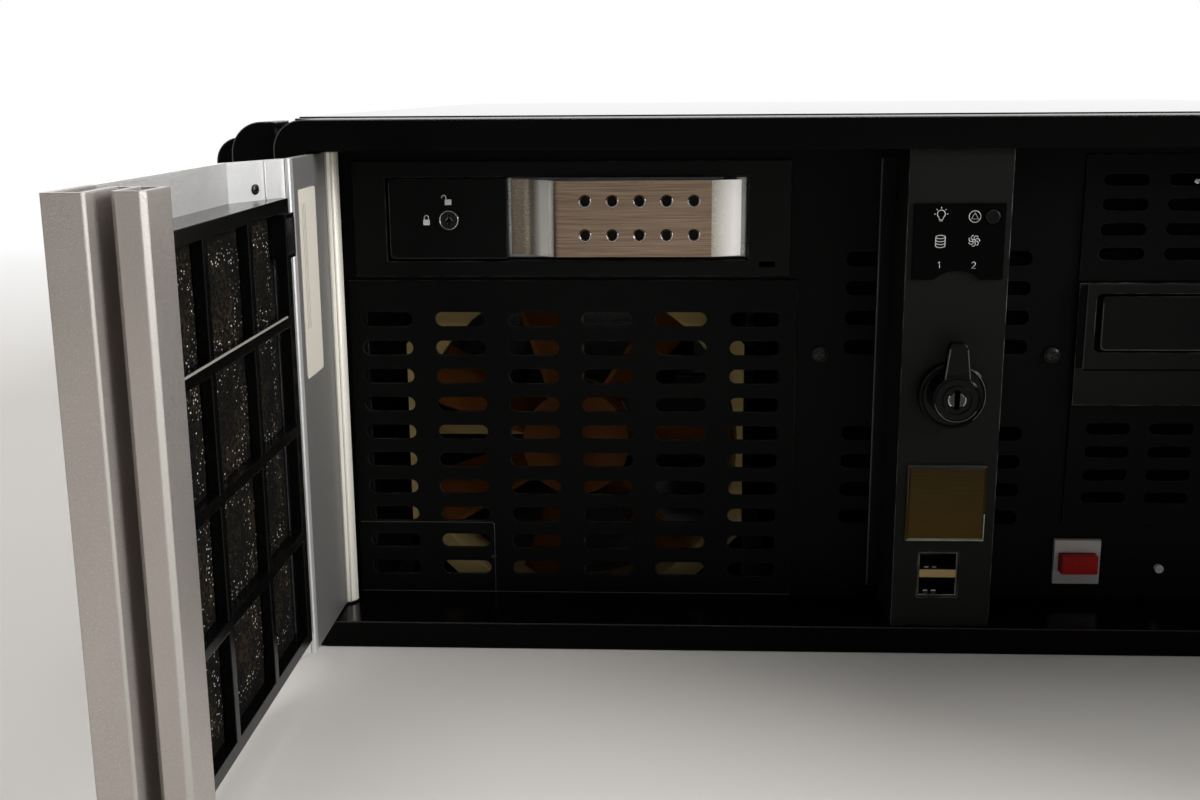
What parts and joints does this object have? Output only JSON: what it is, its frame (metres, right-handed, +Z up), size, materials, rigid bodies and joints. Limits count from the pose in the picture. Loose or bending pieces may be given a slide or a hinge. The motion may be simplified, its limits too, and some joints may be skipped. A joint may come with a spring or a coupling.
{
  "type": "rackmount computer",
  "caption": "Rack-mount computer case with hinged silver filter doors, turn latch, hot-swap drive tray, disc drive, slotted fan grille and rear-mounted board and power supply.",
  "frame": {"origin": "on the underside at mid width, in the plane of the rack ears' rear faces", "axes": "+X right seen from the front, +Y towards the rear, +Z up"},
  "size_m": [0.4826, 0.639, 0.1774],
  "materials": {
    "black_paint": "black powder coat",
    "zinc_steel": "zinc-plated sheet",
    "black_plastic": "fine-textured black moulding",
    "grey_black": "satin charcoal",
    "door_silver": "satin anodised",
    "brushed_silver": "brushed",
    "cast_silver": "plain cast",
    "steel_pin": "plain",
    "foam": "open-cell foam",
    "dark_glass": "polished black",
    "black_chrome": "dark plated",
    "gold_resin": "clear resin dome over gold",
    "white_plastic": "plain white",
    "red_plastic": "plain red",
    "lamp_clear": "clear lens",
    "fan_beige": "beige moulding",
    "fan_brown": "brown moulding",
    "board_green": "circuit board",
    "socket_black": "moulded"
  },
  "bodies": {
    "chassis": {"chassis_tray": "zinc_steel", "top_cover": "black_paint", "front_panel": "black_paint", "panel_screws": "steel_pin", "rear_panel": "zinc_steel", "rack_ears": "black_paint", "front_frame": "black_plastic", "side_cheeks": "black_plastic", "hinge_pins": "steel_pin", "centre_pillar": "grey_black", "indicator_window": "dark_glass", "lock_collar": "black_chrome", "badge_plate": "gold_resin", "usb_socket": "steel_pin", "bay_covers": "black_paint", "fan_grille": "black_paint", "bay_brackets": "zinc_steel", "drive_rack_bezel": "black_plastic", "drive_rack_cage": "zinc_steel", "drive_backplane": "board_green", "disc_bezel": "grey_black", "disc_drive": "zinc_steel", "switch_surrounds": "white_plastic", "status_lamp": "lamp_clear", "front_fan_frame": "fan_beige", "small_fan_frames": "black_plastic", "motherboard": "board_green", "memory_modules": "board_green", "standoffs": "steel_pin", "port_shield": "zinc_steel", "expansion_card": "zinc_steel", "slot_covers": "zinc_steel", "processor_cooler": "cast_silver", "power_supply": "zinc_steel", "mains_sockets": "socket_black"},
    "left_door": {"door_left": "door_silver", "filter_frame_left": "black_plastic", "filter_foam_left": "foam"},
    "right_door": {"door_right": "door_silver", "filter_frame_right": "black_plastic", "filter_foam_right": "foam"},
    "latch": {"turn_latch": "black_chrome"},
    "alarm": {"alarm_button": "black_plastic"},
    "tray": {"drive_tray": "zinc_steel", "handle_pin": "steel_pin", "hard_disk": "cast_silver", "tray_face": "black_plastic"},
    "handle": {"drive_handle": "brushed_silver"},
    "tray_key": {"tray_lock": "steel_pin"},
    "disc_slider": {"disc_tray": "black_plastic"},
    "eject": {"eject_button": "black_plastic"},
    "reset": {"reset_button": "red_plastic"},
    "power": {"power_button": "white_plastic"},
    "front_fan": {"front_fan_rotor": "fan_brown"},
    "rear_fan_left": {"rear_fan_left_rotor": "black_plastic"},
    "rear_fan_right": {"rear_fan_right_rotor": "black_plastic"},
    "processor_fan": {"processor_fan_rotor": "black_plastic"},
    "supply_fan": {"supply_fan_rotor": "black_plastic"},
    "rocker": {"rocker_switch": "socket_black"}
  },
  "joints": [
    {"name": "left_door_swing", "type": "hinge", "parent": "chassis", "child": "left_door", "pos_m": [-0.2045, -0.002, 0.088], "axis": [0, 0, 1], "range_deg": [0, 90]},
    {"name": "right_door_swing", "type": "hinge", "parent": "chassis", "child": "right_door", "pos_m": [0.2045, -0.002, 0.088], "axis": [0, 0, -1], "range_deg": [0, 90]},
    {"name": "latch_turn", "type": "hinge", "parent": "chassis", "child": "latch", "pos_m": [0, -0.024, 0.089], "axis": [0, 1, 0], "range_deg": [0, 90]},
    {"name": "alarm_press", "type": "slide", "parent": "chassis", "child": "alarm", "axis": [0, 1, 0], "range_m": [0, 0.0008], "stiffness_N_per_m": 400},
    {"name": "tray_slide", "type": "slide", "parent": "chassis", "child": "tray", "axis": [0, 1, 0], "range_m": [-0.14, 0]},
    {"name": "handle_swing", "type": "hinge", "parent": "tray", "child": "handle", "pos_m": [-0.0705, 0.0095, 0.1434], "axis": [0, 0, -1], "range_deg": [-50, 0]},
    {"name": "tray_lock_turn", "type": "hinge", "parent": "tray", "child": "tray_key", "pos_m": [-0.166, 0.01, 0.1426], "axis": [0, 1, 0], "range_deg": [0, 90]},
    {"name": "disc_slide", "type": "slide", "parent": "chassis", "child": "disc_slider", "axis": [0, 1, 0], "range_m": [-0.13, 0]},
    {"name": "eject_press", "type": "slide", "parent": "chassis", "child": "eject", "axis": [0, 1, 0], "range_m": [0, 0.001], "stiffness_N_per_m": 500},
    {"name": "reset_press", "type": "slide", "parent": "chassis", "child": "reset", "axis": [0, 1, 0], "range_m": [0, 0.0015], "stiffness_N_per_m": 600},
    {"name": "power_press", "type": "slide", "parent": "chassis", "child": "power", "axis": [0, 1, 0], "range_m": [0, 0.0015], "stiffness_N_per_m": 600},
    {"name": "front_fan_spin", "type": "hinge", "parent": "chassis", "child": "front_fan", "pos_m": [-0.1244, 0.032, 0.0612], "axis": [0, 1, 0], "continuous": true},
    {"name": "rear_fan_left_spin", "type": "hinge", "parent": "chassis", "child": "rear_fan_left", "pos_m": [-0.042, 0.436, 0.131], "axis": [0, 1, 0], "continuous": true},
    {"name": "rear_fan_right_spin", "type": "hinge", "parent": "chassis", "child": "rear_fan_right", "pos_m": [0.042, 0.436, 0.131], "axis": [0, 1, 0], "continuous": true},
    {"name": "processor_fan_spin", "type": "hinge", "parent": "chassis", "child": "processor_fan", "pos_m": [-0.03, 0.294, 0.0833], "axis": [0, 1, 0], "continuous": true},
    {"name": "supply_fan_spin", "type": "hinge", "parent": "chassis", "child": "supply_fan", "pos_m": [0.177, 0.435, 0.0442], "axis": [0, 1, 0], "continuous": true},
    {"name": "rocker_tip", "type": "hinge", "parent": "chassis", "child": "rocker", "pos_m": [0.0775, 0.4428, 0.06], "axis": [1, 0, 0], "range_deg": [-9, 9]}
  ]
}
